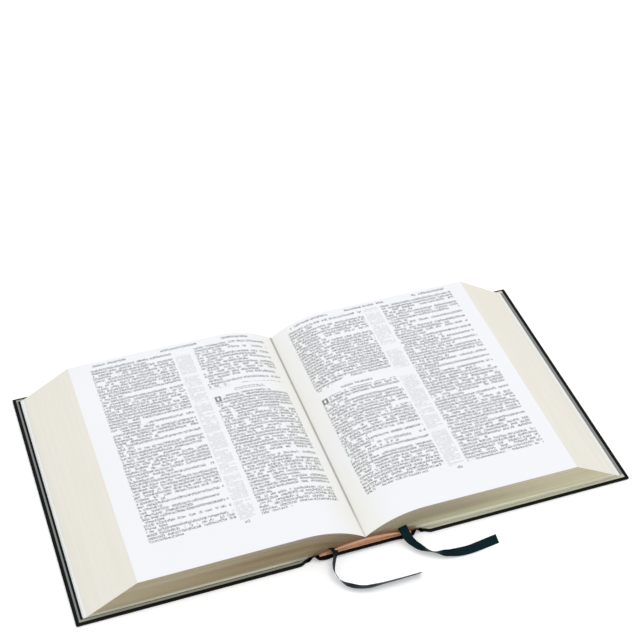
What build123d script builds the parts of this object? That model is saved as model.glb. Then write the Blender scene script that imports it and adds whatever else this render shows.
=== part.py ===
"""A large lectern book that lies open at its middle, with two ribbon markers.

The spine rests on the table along Y, head at +Y and tail at -Y. The front cover lies
on the -X side and the back cover on the +X side. Each half of the text block is a
stack of sections: every section has a flat stretch, which turns with the covers, and a
gutter stretch, which curves down to the fold. Distances from the fold are called reach.
"""

import os
from math import radians, tan

from build123d import *

os.makedirs("parts", exist_ok=True)

# ---- driving dimensions, in millimetres ----
BOOK_HEIGHT = 372.0
COVER_REACH = 349.0
BOARD_INNER_REACH = 73.0
COVER_THICKNESS = 3.8
COVER_CORNER_RADIUS = 1.5
CLOTH_THICKNESS = 0.8
TURN_IN_WIDTH = 9.0
HINGE_EDGE_WIDTH = 2.0

PAGE_HEIGHT = 359.0
SECTION_COUNT = 6
BLOCK_BOTTOM = 5.8
BLOCK_TOP = 43.9
LEAF_GAP = 0.6
FLAT_START_REACH = 75.0
LOWEST_LEAF_REACH = 335.0
TOP_LEAF_REACH = 274.0
SEAM_CLEARANCE = 0.1
FOLD_CLEARANCE = 0.15
GUTTER_CENTRE_HEIGHT = -72.0

FLYLEAVES_BOTTOM = 4.1
FLYLEAVES_THICKNESS = 1.4
FLYLEAVES_REACH = 339.5

SPINE_HALF_WIDTH = 60.0
SPINE_BOTTOM = 3.0
SPINE_LEATHER_THICKNESS = 1.4
SPINE_CAP_DEPTH = 5.5
SPINE_CAP_THICKNESS = 2.0
STIFFENER_HALF_WIDTH = 54.0
STIFFENER_HEIGHT = 360.0
STIFFENER_THICKNESS = 1.0

LINING_BOTTOM = 5.5
LINING_CROWN = 15.0
BACKING_LAYER = 0.5
TAPE_WIDTH = 16.0
TAPE_SPACING = 92.0
TAPE_COUNT = 3
END_BAND_DEPTH = 3.0
END_BAND_THICKNESS = 2.5
END_BAND_HALF_WIDTH = 44.0

BAND_COUNT = 4
BAND_HALF_LENGTH = 57.0
BAND_WIDTH = 11.0
BAND_ROUNDING = 2.6

JOINT_GAP = 0.2
JOINT_THICKNESS = 1.3
JOINT_RIDGE_REACH = 65.5
JOINT_RIDGE_BOTTOM = 3.7
JOINT_OUTER_BOTTOM = 1.6

RIBBON_WIDTH = 11.0
RIBBON_THICKNESS = 0.6
RIBBON_RUN_THICKNESS = 0.3
LEFT_RUN_SECTION = 2
LEFT_RUN_REACH = 41.0
RIGHT_RUN_SECTION = 3
RIGHT_RUN_REACH = 42.0
ARC_SHARE = 0.45

# ---- lengths that follow from them ----
SECTION_PITCH = (BLOCK_TOP - BLOCK_BOTTOM) / SECTION_COUNT
LEAF_STEP = (LOWEST_LEAF_REACH - TOP_LEAF_REACH) / SECTION_COUNT
LINING_RISE = LINING_CROWN - LINING_BOTTOM
LINING_RADIUS = (SPINE_HALF_WIDTH**2 + LINING_RISE**2) / (2 * LINING_RISE)
LINING_CENTRE_HEIGHT = LINING_CROWN - LINING_RADIUS
BOARD_TOP = COVER_THICKNESS - CLOTH_THICKNESS
SPINE_TOP = SPINE_BOTTOM + SPINE_LEATHER_THICKNESS

SIDES = {"front": -1, "back": 1}


def span(side, inner, outer, low, high):
    """A rectangle on the cross-section plane, from one reach to another."""
    with Locations((side * (inner + outer) / 2, (low + high) / 2)):
        Rectangle(outer - inner, high - low)


def keep_above_lining():
    """Cut away what lies under the arched lining of the spine."""
    with Locations((0, LINING_CENTRE_HEIGHT)):
        Circle(LINING_RADIUS + SEAM_CLEARANCE, mode=Mode.SUBTRACT)


def leaf_ring(side, inner_height, outer_height, inner_reach, outer_reach):
    """A curved layer of leaves, concentric with the bend between fold and flat."""
    with Locations((side * FLAT_START_REACH, GUTTER_CENTRE_HEIGHT)):
        Circle(outer_height - GUTTER_CENTRE_HEIGHT)
        Circle(inner_height - GUTTER_CENTRE_HEIGHT, mode=Mode.SUBTRACT)
    width = outer_reach - inner_reach
    height = BLOCK_TOP - BLOCK_BOTTOM
    with Locations((side * (inner_reach + outer_reach) / 2, (BLOCK_TOP + BLOCK_BOTTOM) / 2)):
        Rectangle(width, height, mode=Mode.INTERSECT)


def arched_layer(top_drop, bottom_drop, half_width):
    """A layer that follows the arch of the text block's back, between two depths."""
    with Locations((0, LINING_CENTRE_HEIGHT)):
        Circle(LINING_RADIUS - top_drop)
    with Locations((0, (LINING_BOTTOM + LINING_CROWN) / 2)):
        Rectangle(2 * half_width, LINING_RISE, mode=Mode.INTERSECT)
    if bottom_drop is not None:
        with Locations((0, LINING_CENTRE_HEIGHT)):
            Circle(LINING_RADIUS - bottom_drop, mode=Mode.SUBTRACT)


def save(name, built):
    built.part.label = name
    export_step(built.part, f"parts/{name}.step")


# ---- covers: board, cloth, pastedown and the flexible leather joint ----
def make_cover(name, side):
    middle = side * (BOARD_INNER_REACH + COVER_REACH) / 2
    width = COVER_REACH - BOARD_INNER_REACH
    window_inner = BOARD_INNER_REACH + HINGE_EDGE_WIDTH
    window_outer = COVER_REACH - TURN_IN_WIDTH
    window_middle = side * (window_inner + window_outer) / 2
    window_width = window_outer - window_inner
    window_height = BOOK_HEIGHT - 2 * TURN_IN_WIDTH

    with BuildPart() as board:
        with BuildSketch(Plane.XY.offset(CLOTH_THICKNESS)):
            with Locations((middle, 0)):
                Rectangle(width - 2 * CLOTH_THICKNESS, BOOK_HEIGHT - 2 * CLOTH_THICKNESS)
        extrude(amount=BOARD_TOP - CLOTH_THICKNESS)

    with BuildPart() as cloth:
        with BuildSketch(Plane.XY):
            with Locations((middle, 0)):
                RectangleRounded(width, BOOK_HEIGHT, COVER_CORNER_RADIUS)
        extrude(amount=COVER_THICKNESS)
        with BuildSketch(Plane.XY.offset(CLOTH_THICKNESS)):
            with Locations((middle, 0)):
                Rectangle(width - 2 * CLOTH_THICKNESS, BOOK_HEIGHT - 2 * CLOTH_THICKNESS)
        extrude(amount=BOARD_TOP - CLOTH_THICKNESS, mode=Mode.SUBTRACT)
        with BuildSketch(Plane.XY.offset(BOARD_TOP)):
            with Locations((window_middle, 0)):
                Rectangle(window_width, window_height)
        extrude(amount=CLOTH_THICKNESS, mode=Mode.SUBTRACT)

    with BuildPart() as pastedown:
        with BuildSketch(Plane.XY.offset(BOARD_TOP)):
            with Locations((window_middle, 0)):
                Rectangle(window_width, window_height)
        extrude(amount=CLOTH_THICKNESS)

    with BuildPart() as joint_leather:
        with BuildSketch(Plane.XZ):
            with BuildLine():
                inner = side * (SPINE_HALF_WIDTH + JOINT_GAP)
                ridge = side * JOINT_RIDGE_REACH
                outer = side * (BOARD_INNER_REACH - JOINT_GAP)
                Polyline(
                    (inner, SPINE_BOTTOM),
                    (ridge, JOINT_RIDGE_BOTTOM),
                    (outer, JOINT_OUTER_BOTTOM),
                    (outer, JOINT_OUTER_BOTTOM + JOINT_THICKNESS),
                    (ridge, JOINT_RIDGE_BOTTOM + JOINT_THICKNESS),
                    (inner, SPINE_BOTTOM + JOINT_THICKNESS),
                    close=True,
                )
            make_face()
        extrude(amount=BOOK_HEIGHT / 2, both=True)

    save(f"{name}_board", board)
    save(f"{name}_cover_cloth", cloth)
    save(f"{name}_pastedown", pastedown)
    save(f"{name}_joint_leather", joint_leather)


# ---- one half of the text block: flyleaves, and a flat and a gutter for each section ----
def make_half_block(name, side):
    for number in range(SECTION_COUNT):
        low = BLOCK_BOTTOM + number * SECTION_PITCH
        high = low + SECTION_PITCH - LEAF_GAP
        low_reach = LOWEST_LEAF_REACH - number * LEAF_STEP
        high_reach = low_reach - LEAF_STEP
        start = FLAT_START_REACH + SEAM_CLEARANCE

        with BuildPart() as flat:
            with BuildSketch(Plane.XZ):
                with BuildLine():
                    Polyline(
                        (side * start, low),
                        (side * low_reach, low),
                        (side * high_reach, high),
                        (side * start, high),
                        close=True,
                    )
                make_face()
            extrude(amount=PAGE_HEIGHT / 2, both=True)

        with BuildPart() as gutter:
            with BuildSketch(Plane.XZ):
                leaf_ring(side, low, high, FOLD_CLEARANCE, FLAT_START_REACH)
                keep_above_lining()
            extrude(amount=PAGE_HEIGHT / 2, both=True)

        save(f"{name}_section_{number + 1}", flat)
        save(f"{name}_gutter_{number + 1}", gutter)

    with BuildPart() as flyleaves:
        with BuildSketch(Plane.XZ):
            span(
                side,
                BOARD_INNER_REACH,
                FLYLEAVES_REACH,
                FLYLEAVES_BOTTOM,
                FLYLEAVES_BOTTOM + FLYLEAVES_THICKNESS,
            )
        extrude(amount=PAGE_HEIGHT / 2, both=True)
    save(f"{name}_flyleaves", flyleaves)


# ---- spine: leather, raised bands, stiffener, lining, tapes, mull and end bands ----
def make_spine():
    with BuildPart() as leather:
        with BuildSketch(Plane.XY.offset(SPINE_BOTTOM)):
            Rectangle(2 * SPINE_HALF_WIDTH, BOOK_HEIGHT)
        extrude(amount=SPINE_LEATHER_THICKNESS)
        with BuildSketch(Plane.XY.offset(SPINE_TOP)):
            with Locations(
                (0, (BOOK_HEIGHT - SPINE_CAP_DEPTH) / 2),
                (0, -(BOOK_HEIGHT - SPINE_CAP_DEPTH) / 2),
            ):
                Rectangle(2 * SPINE_HALF_WIDTH, SPINE_CAP_DEPTH)
        extrude(amount=SPINE_CAP_THICKNESS)
    save("spine_leather", leather)

    with BuildPart() as bands:
        with BuildSketch(Plane.YZ):
            with Locations((0, SPINE_BOTTOM / 2)):
                with GridLocations(BOOK_HEIGHT / (BAND_COUNT + 1), 0, BAND_COUNT, 1):
                    Rectangle(BAND_WIDTH, SPINE_BOTTOM)
        extrude(amount=BAND_HALF_LENGTH, both=True)
        fillet(
            bands.faces().sort_by(Axis.Z)[:BAND_COUNT].edges().filter_by(Axis.X),
            BAND_ROUNDING,
        )
    save("raised_bands", bands)

    with BuildPart() as stiffener:
        with BuildSketch(Plane.XY.offset(SPINE_TOP)):
            Rectangle(2 * STIFFENER_HALF_WIDTH, STIFFENER_HEIGHT)
        extrude(amount=STIFFENER_THICKNESS)
    save("spine_stiffener", stiffener)

    with BuildPart() as lining:
        with BuildSketch(Plane.XZ):
            arched_layer(2 * BACKING_LAYER, None, SPINE_HALF_WIDTH)
        extrude(amount=PAGE_HEIGHT / 2, both=True)
    save("spine_lining", lining)

    with BuildPart() as tapes:
        with BuildSketch(Plane.XZ):
            arched_layer(BACKING_LAYER, 2 * BACKING_LAYER, SPINE_HALF_WIDTH)
        extrude(amount=PAGE_HEIGHT / 2, both=True)
        with BuildSketch(Plane.XY):
            with GridLocations(0, TAPE_SPACING, 1, TAPE_COUNT):
                Rectangle(2 * SPINE_HALF_WIDTH, TAPE_WIDTH)
        extrude(amount=LINING_CROWN, mode=Mode.INTERSECT)
    save("sewing_tapes", tapes)

    with BuildPart() as mull:
        with BuildSketch(Plane.XZ):
            arched_layer(0, BACKING_LAYER, SPINE_HALF_WIDTH)
        extrude(amount=PAGE_HEIGHT / 2, both=True)
    save("mull", mull)

    for name, end in {"headband": 1, "tailband": -1}.items():
        start = end * (PAGE_HEIGHT / 2 + SEAM_CLEARANCE)
        with BuildPart() as end_band:
            with BuildSketch(Plane.XZ.offset(-start)):
                arched_layer(0, END_BAND_THICKNESS, END_BAND_HALF_WIDTH)
            extrude(amount=-end * END_BAND_DEPTH)
        save(name, end_band)


# ---- ribbon markers: a hidden run between the leaves, and a tail on the table ----
def make_ribbon_run(name, side, under_section, inner_reach):
    middle = BLOCK_BOTTOM + under_section * SECTION_PITCH - LEAF_GAP / 2
    half = RIBBON_RUN_THICKNESS / 2
    with BuildPart() as run:
        with BuildSketch(Plane.XZ):
            leaf_ring(side, middle - half, middle + half, inner_reach, inner_reach + RIBBON_WIDTH)
            keep_above_lining()
        extrude(amount=PAGE_HEIGHT / 2, both=True)
    save(name, run)


def corner_radii(route):
    """The largest arc at each corner of a route that its two runs leave room for."""
    radii = []
    for before, corner, after in zip(route, route[1:], route[2:]):
        arriving = Vector(*corner) - Vector(*before)
        leaving = Vector(*after) - Vector(*corner)
        half_turn = radians(arriving.get_angle(leaving)) / 2
        shorter = min(arriving.length, leaving.length)
        radii.append(ARC_SHARE * shorter / tan(half_turn))
    return radii


def make_ribbon_tail(name, route):
    radii = corner_radii(route)
    with BuildPart() as tail:
        with BuildSketch(Plane.XY):
            with BuildLine() as path:
                FilletPolyline(*route, radius=radii)
            trace(line_width=RIBBON_THICKNESS)
        extrude(amount=RIBBON_WIDTH)
    length = sum(edge.length for edge in path.edges())
    stretch = tail.part.volume / (RIBBON_THICKNESS * RIBBON_WIDTH)
    print(f"{name}: length {length:.1f}, length by volume {stretch:.1f}")
    print(f"{name}: radii {[round(radius, 1) for radius in radii]}")
    save(name, tail)


LEFT_TAIL_ROUTE = [
    (-38.0, -186.6),
    (-44.5, -200.0),
    (-43.5, -214.0),
    (-34.0, -228.0),
    (-18.0, -236.5),
    (4.0, -239.0),
    (27.0, -236.0),
    (49.5, -237.5),
]
RIGHT_TAIL_ROUTE = [
    (49.0, -186.6),
    (57.5, -197.0),
    (74.0, -212.0),
    (92.0, -222.5),
    (112.0, -225.0),
    (133.0, -220.0),
    (154.0, -218.5),
]

for side_name, side_sign in SIDES.items():
    make_cover(side_name, side_sign)
    make_half_block(side_name, side_sign)
make_spine()
make_ribbon_run("left_ribbon_run", SIDES["front"], LEFT_RUN_SECTION, LEFT_RUN_REACH)
make_ribbon_run("right_ribbon_run", SIDES["back"], RIGHT_RUN_SECTION, RIGHT_RUN_REACH)
make_ribbon_tail("left_ribbon_tail", LEFT_TAIL_ROUTE)
make_ribbon_tail("right_ribbon_tail", RIGHT_TAIL_ROUTE)
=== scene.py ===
"""Looks for a large lectern book that lies open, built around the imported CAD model.

Lengths are in metres. Distances from the fold, on either side, are called reach.
A level counts sections upwards from the cover, so that level 0 is the lowest leaf
and level 6 the page on top. A run is measured along a leaf from where it goes flat,
and is negative in the gutter.
"""

from functools import reduce
from math import asin, copysign, cos, exp, pi, radians, sin, sqrt

import bpy
from mathutils import Matrix, Vector, noise


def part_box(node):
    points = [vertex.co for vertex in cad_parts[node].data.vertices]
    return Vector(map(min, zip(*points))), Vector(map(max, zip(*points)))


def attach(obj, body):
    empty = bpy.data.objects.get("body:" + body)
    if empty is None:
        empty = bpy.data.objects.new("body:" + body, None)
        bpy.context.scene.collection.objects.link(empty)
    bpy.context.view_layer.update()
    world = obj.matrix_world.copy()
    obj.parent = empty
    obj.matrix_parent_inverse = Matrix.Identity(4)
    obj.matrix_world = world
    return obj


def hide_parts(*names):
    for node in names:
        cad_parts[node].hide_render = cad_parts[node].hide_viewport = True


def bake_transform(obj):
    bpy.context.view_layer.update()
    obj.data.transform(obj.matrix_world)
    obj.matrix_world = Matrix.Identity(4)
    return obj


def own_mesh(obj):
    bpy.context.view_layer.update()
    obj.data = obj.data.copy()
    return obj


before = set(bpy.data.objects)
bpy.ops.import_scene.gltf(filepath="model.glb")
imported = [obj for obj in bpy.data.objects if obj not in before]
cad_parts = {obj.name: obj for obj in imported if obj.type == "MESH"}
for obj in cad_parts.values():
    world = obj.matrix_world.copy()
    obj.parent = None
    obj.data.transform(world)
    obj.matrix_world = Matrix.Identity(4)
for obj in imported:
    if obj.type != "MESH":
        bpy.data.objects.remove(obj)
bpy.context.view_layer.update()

MM = 0.001
SIDES = {"front": -1, "back": 1}

# ---- sizes read from the frame ----
SECTION_COUNT = 6
lowest_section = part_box("back_section_1")
second_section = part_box("back_section_2")
top_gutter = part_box(f"back_gutter_{SECTION_COUNT}")
leather_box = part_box("spine_leather")
cover_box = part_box("back_cover_cloth")
board_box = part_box("back_board")
pastedown_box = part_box("back_pastedown")
flyleaves_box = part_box("back_flyleaves")
lining_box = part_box("spine_lining")
stiffener_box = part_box("spine_stiffener")
tape_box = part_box("sewing_tapes")

PITCH = second_section[0].z - lowest_section[0].z
BLOCK_BOTTOM = lowest_section[0].z
PAGE_HALF = lowest_section[1].y
LOWEST_REACH = lowest_section[1].x
LEAF_STEP = lowest_section[1].x - second_section[1].x
FLAT_START = top_gutter[1].x
SPINE_HALF = leather_box[1].x
BOOK_HALF = cover_box[1].y
BOARD_START = cover_box[0].x
COVER_REACH = cover_box[1].x
COVER_TOP = cover_box[1].z
TURN_IN = COVER_REACH - pastedown_box[1].x

# ---- shape of the bend, as the CAD gutters have it ----
BEND_CENTRE = -72 * MM
LINING_BOTTOM = lining_box[0].z
LINING_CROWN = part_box("mull")[1].z
LINING_RADIUS = (SPINE_HALF**2 + (LINING_CROWN - LINING_BOTTOM) ** 2) / (
    2 * (LINING_CROWN - LINING_BOTTOM)
)
BACKING_LAYER = 0.5 * MM
FOLD_GAP = 0.1 * MM
LEAF_SKIN = 0.02 * MM
FLYLEAF_COUNT = 3
TOP_TRIM = 0.3 * MM
RIBBON_WIDTH = 11 * MM

# ---- the page as it is set; spans in mm give where each starts and ends from the fold ----
TEXT_TOP = 166 * MM
TEXT_BOTTOM = -130 * MM
LINE_PITCH = 4.95 * MM
HEAD_LINE = 175 * MM
FOOT_LINE = -132 * MM
TEXT_COLUMNS = ((-254, -148), (-118, -18), (24, 129), (157, 260))
NOTE_COLUMNS = ((-145, -124), (132, 153))
HEADS = ((-160, -110), (-250, -206), (-78, -40), (108, 165), (30, 84), (206, 254))
FOLIOS = ((-141, -134), (141, 148))
CHAPTERS = ((-118, -18, 76), (24, 129, 40))

# ---- the boards: corners trimmed beside the spine ----
CORNER_TRIM = 3.6 * MM
TRIM_RUN = 10 * MM


# ---- node helpers ----
class Shade:
    """Builds one procedural material, node by node."""

    def __init__(self, name, colour, roughness, specular=0.5):
        self.material = bpy.data.materials.new(name)
        self.material.use_nodes = True
        self.tree = self.material.node_tree
        self.shader = self.tree.nodes["Principled BSDF"]
        self.set("Base Color", (*colour, 1.0))
        self.set("Roughness", roughness)
        self.set("Specular IOR Level", specular)
        self.material.diffuse_color = (*colour, 1.0)

    def set(self, socket, value):
        self.shader.inputs[socket].default_value = value

    def feed(self, socket, source):
        self.tree.links.new(source, self.shader.inputs[socket])

    def node(self, kind, inputs=(), **settings):
        made = self.tree.nodes.new(kind)
        for key, value in settings.items():
            setattr(made, key, value)
        for key, value in dict(inputs).items():
            if isinstance(value, bpy.types.NodeSocket):
                self.tree.links.new(value, made.inputs[key])
            else:
                made.inputs[key].default_value = value
        return made

    def math(self, operation, first, second=0.0, third=0.0):
        inputs = {0: first, 1: second, 2: third}
        return self.node("ShaderNodeMath", inputs, operation=operation).outputs[0]

    def product(self, *factors):
        return reduce(lambda so_far, factor: self.math("MULTIPLY", so_far, factor), factors)

    def largest(self, *values):
        return reduce(lambda so_far, value: self.math("MAXIMUM", so_far, value), values)

    def mix(self, share, first, second):
        made = self.node("ShaderNodeMix", {"Factor": share}, data_type="RGBA")
        for socket, value in ((made.inputs[6], first), (made.inputs[7], second)):
            if isinstance(value, bpy.types.NodeSocket):
                self.tree.links.new(value, socket)
            else:
                socket.default_value = (*value, 1.0)
        return made.outputs[2]

    def paint(self, share, first, second):
        self.feed("Base Color", self.mix(share, first, second))

    def bands(self, value, stops):
        """A run of colours along a value, given as (place, colour) pairs."""
        made = self.node("ShaderNodeValToRGB", {0: value})
        ramp = made.color_ramp
        ramp.interpolation = "EASE"
        while len(ramp.elements) < len(stops):
            ramp.elements.new(0.5)
        for element, (place, colour) in zip(ramp.elements, stops):
            element.position = place
            element.color = (*colour, 1.0)
        return made.outputs[0]

    def uv(self):
        point = self.node("ShaderNodeUVMap").outputs[0]
        parts = self.node("ShaderNodeSeparateXYZ", {0: point})
        return parts.outputs[0], parts.outputs[1]

    def place(self, x, y, z=0.0):
        return self.node("ShaderNodeCombineXYZ", {0: x, 1: y, 2: z}).outputs[0]

    def object_point(self):
        return self.node("ShaderNodeTexCoord").outputs["Object"]

    def noise(self, vector, scale, detail=2.0, roughness=0.5):
        inputs = {"Vector": vector, "Scale": scale, "Detail": detail, "Roughness": roughness}
        return self.node("ShaderNodeTexNoise", inputs).outputs["Fac"]

    def streaks(self, x, y, x_scale, y_scale, seed=0.0, detail=3.0, roughness=0.5):
        """Noise drawn out along the lesser of the two scales."""
        spot = self.place(self.product(x, x_scale), self.product(y, y_scale), seed)
        return self.noise(spot, 1.0, detail, roughness)

    def cells(self, vector, scale, feature="F1"):
        inputs = {"Vector": vector, "Scale": scale}
        return self.node("ShaderNodeTexVoronoi", inputs, feature=feature).outputs["Distance"]

    def ramp(self, value, low, high, start=0.0, end=1.0):
        inputs = {0: value, 1: low, 2: high, 3: start, 4: end}
        made = self.node("ShaderNodeMapRange", inputs)
        made.interpolation_type = "SMOOTHSTEP"
        return made.outputs[0]

    def within(self, value, low, high):
        above = self.math("GREATER_THAN", value, low)
        below = self.math("LESS_THAN", value, high)
        return self.math("MULTIPLY", above, below)

    def bump(self, height, strength, distance):
        inputs = {"Height": height, "Strength": strength, "Distance": distance}
        self.feed("Normal", self.node("ShaderNodeBump", inputs).outputs[0])


# ---- materials ----
def paper_stock(name, colour):
    """Plain uncoated paper, with a faint cloudy tone and tooth."""
    shade = Shade(name, colour, 0.82)
    point = shade.object_point()
    cloud = shade.ramp(shade.noise(point, 14.0, 3.0), 0.35, 0.7)
    darker = tuple(0.965 * c for c in colour)
    shade.paint(cloud, colour, darker)
    shade.bump(shade.noise(point, 1400.0, 3.0), 0.06, 0.2 * MM)
    return shade.material


def letter_marks(shade, along, down, pitch, seed):
    """Rows of broken strokes that stand for words too small to read.

    Returns the number of the row and how much ink there is."""
    rows = shade.math("DIVIDE", down, pitch)
    row = shade.math("FLOOR", rows)
    height = shade.math("FRACT", rows)
    columns = shade.math("DIVIDE", along, pitch)
    row_seed = shade.math("MULTIPLY_ADD", row, 5.37, seed)
    words = shade.noise(shade.place(columns, row_seed), 0.8, 0.0)
    strokes = shade.noise(shade.place(columns, shade.math("MULTIPLY_ADD", rows, 0.9, seed)), 3.6, 1.0)
    tall = shade.noise(shade.place(columns, row_seed, 8.0), 2.4, 0.0)
    body = shade.product(shade.ramp(height, 0.20, 0.30), shade.ramp(height, 0.92, 0.82))
    rising = shade.product(
        shade.ramp(height, 0.03, 0.09), shade.ramp(height, 0.36, 0.32), shade.ramp(tall, 0.50, 0.56)
    )
    falling = shade.product(
        shade.ramp(height, 0.78, 0.82), shade.ramp(height, 1.0, 0.95), shade.ramp(tall, 0.42, 0.36)
    )
    shape = shade.largest(body, rising, falling)
    return row, shade.product(shape, shade.ramp(words, 0.33, 0.40), shade.ramp(strokes, 0.42, 0.55))


def ragged_column(shade, across, row, start, end, seed, short_share):
    """One column of text, where some rows end early as a verse's last row does."""
    inputs = {"W": shade.math("ADD", row, seed)}
    value = shade.node("ShaderNodeTexWhiteNoise", inputs, noise_dimensions="1D").outputs["Value"]
    odd = shade.math("MODULO", row, 2.0)
    is_short = shade.product(shade.math("LESS_THAN", value, short_share), odd)
    width = end - start
    cut = shade.product(is_short, shade.ramp(value, 0.0, short_share, 0.2 * width, 0.8 * width))
    return shade.within(across, start, shade.math("SUBTRACT", end, cut))


def text_ink(shade, across, up):
    """The two text columns of each page, broken by one chapter heading a page."""
    down = shade.math("SUBTRACT", TEXT_TOP, up)
    row, marks = letter_marks(shade, across, down, LINE_PITCH, 1.0)
    block = shade.largest(*(
        ragged_column(shade, across, row, start * MM, end * MM, 31.7 * seed, 0.5)
        for seed, (start, end) in enumerate(TEXT_COLUMNS)
    ))
    ink = shade.product(block, marks, shade.within(up, TEXT_BOTTOM, TEXT_TOP))

    def box(left, right, low, high):
        """1 within a rectangle given in mm, 0 around it."""
        return shade.product(
            shade.within(across, left * MM, right * MM), shade.within(up, low * MM, high * MM)
        )

    for start, end, level in CHAPTERS:
        margin = 0.3 * (end - start)
        clear = box(start, end, level - 5.5, level + 9)
        title = shade.product(box(start + margin, end - margin, level - 1.5, level + 3), marks)
        initial = box(start, start + 11, level - 15, level - 4)
        letter = box(start + 1, start + 9, level - 14.5, level - 5.5)
        eye = box(start + 3.6, start + 6.2, level - 12.5, level - 7.5)
        ink = shade.product(ink, shade.math("SUBTRACT", 1.0, shade.largest(clear, initial)))
        ink = shade.largest(ink, title, shade.product(letter, shade.math("SUBTRACT", 1.0, eye)))
    return ink


def note_ink(shade, across, up):
    """The narrow reference columns in smaller type, set in loose clusters."""
    down = shade.math("SUBTRACT", TEXT_TOP, up)
    row, marks = letter_marks(shade, across, down, 0.6 * LINE_PITCH, 9.0)
    page_side = shade.math("SIGN", across)
    spread = shade.noise(shade.place(page_side, shade.math("MULTIPLY", up, 40.0), 3.0), 1.0, 1.0)
    columns = shade.largest(*(
        ragged_column(shade, across, row, start * MM, end * MM, 11.3 * seed, 0.3)
        for seed, (start, end) in enumerate(NOTE_COLUMNS)
    ))
    inside = shade.within(up, TEXT_BOTTOM, TEXT_TOP)
    return shade.product(columns, inside, marks, shade.ramp(spread, 0.38, 0.42), 0.42)


def head_ink(shade, across, up):
    """Running heads above the text and a folio below it."""
    pieces = []
    for level, spans in ((HEAD_LINE, HEADS), (FOOT_LINE, FOLIOS)):
        row, marks = letter_marks(shade, across, shade.math("SUBTRACT", level, up), LINE_PITCH, 4.0)
        only = shade.math("COMPARE", row, 0.0, 0.5)
        for start, end in spans:
            pieces.append(shade.product(shade.within(across, start * MM, end * MM), only, marks))
    return shade.largest(*pieces)


def printed_page():
    """The page on top: cream in the gutter, cooler outwards, with greyed lines of print and a
    painted shadow along the fold.
    """
    shade = Shade("printed_page", (0.88, 0.89, 0.91), 0.78)
    across, up = shade.uv()
    ink = shade.largest(*(kind(shade, across, up) for kind in (text_ink, note_ink, head_ink)))
    warmth = shade.ramp(shade.math("ABSOLUTE", across), 0.0, 60 * MM)
    stock = shade.mix(warmth, (0.845, 0.835, 0.79), (0.865, 0.87, 0.90))
    cloud = shade.ramp(shade.noise(shade.place(across, up), 9.0, 2.0), 0.3, 0.75, 0.0, 0.5)
    stock = shade.mix(cloud, stock, (0.85, 0.85, 0.87))
    # Painted shadow along the fold, mostly on the left page and fainter towards the tail.
    crease = shade.product(shade.ramp(across, -4.0 * MM, -0.4 * MM), shade.ramp(across, 1.6 * MM, 0.0))
    fold_shadow_depth = shade.ramp(up, -178 * MM, -120 * MM, 0.25, 0.7)
    stock = shade.mix(shade.product(crease, fold_shadow_depth), stock, (0.30, 0.26, 0.20))
    shade.paint(shade.product(ink, 0.85), stock, (0.09, 0.105, 0.105))
    shade.bump(shade.noise(shade.place(across, up), 900.0, 3.0), 0.05, 0.2 * MM)
    return shade.material


def cut_ends(name, tones, outer_tint, joint_darkening):
    """Head and tail edges, browned towards the glue. The chart gives distance from the leaf's
    inner end and height. Tones are colours by share of the height, from the bottom."""
    shade = Shade(name, tones[0][1], 0.85)
    along, height = shade.uv()
    sway = shade.noise(shade.place(shade.math("MULTIPLY", along, 9.0), 0.0, 2.0), 1.0, 2.0)
    swayed = shade.math("MULTIPLY_ADD", sway, 2.2 * MM, height)
    tone = shade.bands(shade.math("DIVIDE", swayed, SECTION_COUNT * PITCH), tones)
    outward = shade.ramp(along, 0.07, 0.27)
    lower = shade.ramp(height, 0.0, 9 * MM, 0.2, 0.75)
    tone = shade.mix(shade.product(outward, lower), tone, outer_tint)
    thin = shade.streaks(along, height, 5.0, 2600.0, detail=4.0)
    broad = shade.streaks(along, height, 3.0, 700.0, 5.0)
    lines = shade.math("MULTIPLY_ADD", broad, 0.6, shade.product(thin, 0.4))
    tone = shade.mix(shade.ramp(lines, 0.42, 0.62, 0.0, 0.3), tone, (0.16, 0.13, 0.07))
    tone = shade.mix(shade.ramp(broad, 0.58, 0.68, 0.0, 0.35), tone, (0.62, 0.58, 0.44))
    glue = shade.streaks(along, height, 110.0, 160.0, 7.0, 4.0, 0.6)
    # Darker in patches towards the joint, by the share given for each side.
    patchy = shade.math("MULTIPLY_ADD", glue, -60 * MM, along)
    browned = shade.ramp(patchy, 20 * MM, -20 * MM, 0.0, joint_darkening)
    tone = shade.mix(browned, tone, (0.12, 0.075, 0.035))
    near = shade.ramp(shade.math("MULTIPLY_ADD", glue, -30 * MM, along), 2 * MM, -9 * MM)
    shade.paint(near, tone, (0.20, 0.115, 0.058))
    shade.bump(thin, 0.35, 0.25 * MM)
    return shade.material


def fore_edge_paper():
    """Fore edges: pale cream, with faint lines along the leaves."""
    light, dark = (0.80, 0.765, 0.69), (0.775, 0.74, 0.66)
    shade = Shade("fore_edge", light, 0.85)
    along, across = shade.uv()
    thin = shade.streaks(along, across, 5.0, 2400.0, detail=4.0)
    broad = shade.streaks(along, across, 2.5, 300.0, 5.0)
    patch = shade.streaks(along, across, 9.0, 60.0, 9.0, 2.0)
    finer = shade.math("MULTIPLY_ADD", thin, 0.3, shade.product(patch, 0.25))
    tone = shade.math("MULTIPLY_ADD", broad, 0.45, finer)
    shade.paint(shade.ramp(tone, 0.4, 0.62), dark, light)
    shade.bump(thin, 0.3, 0.25 * MM)
    return shade.material


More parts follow.
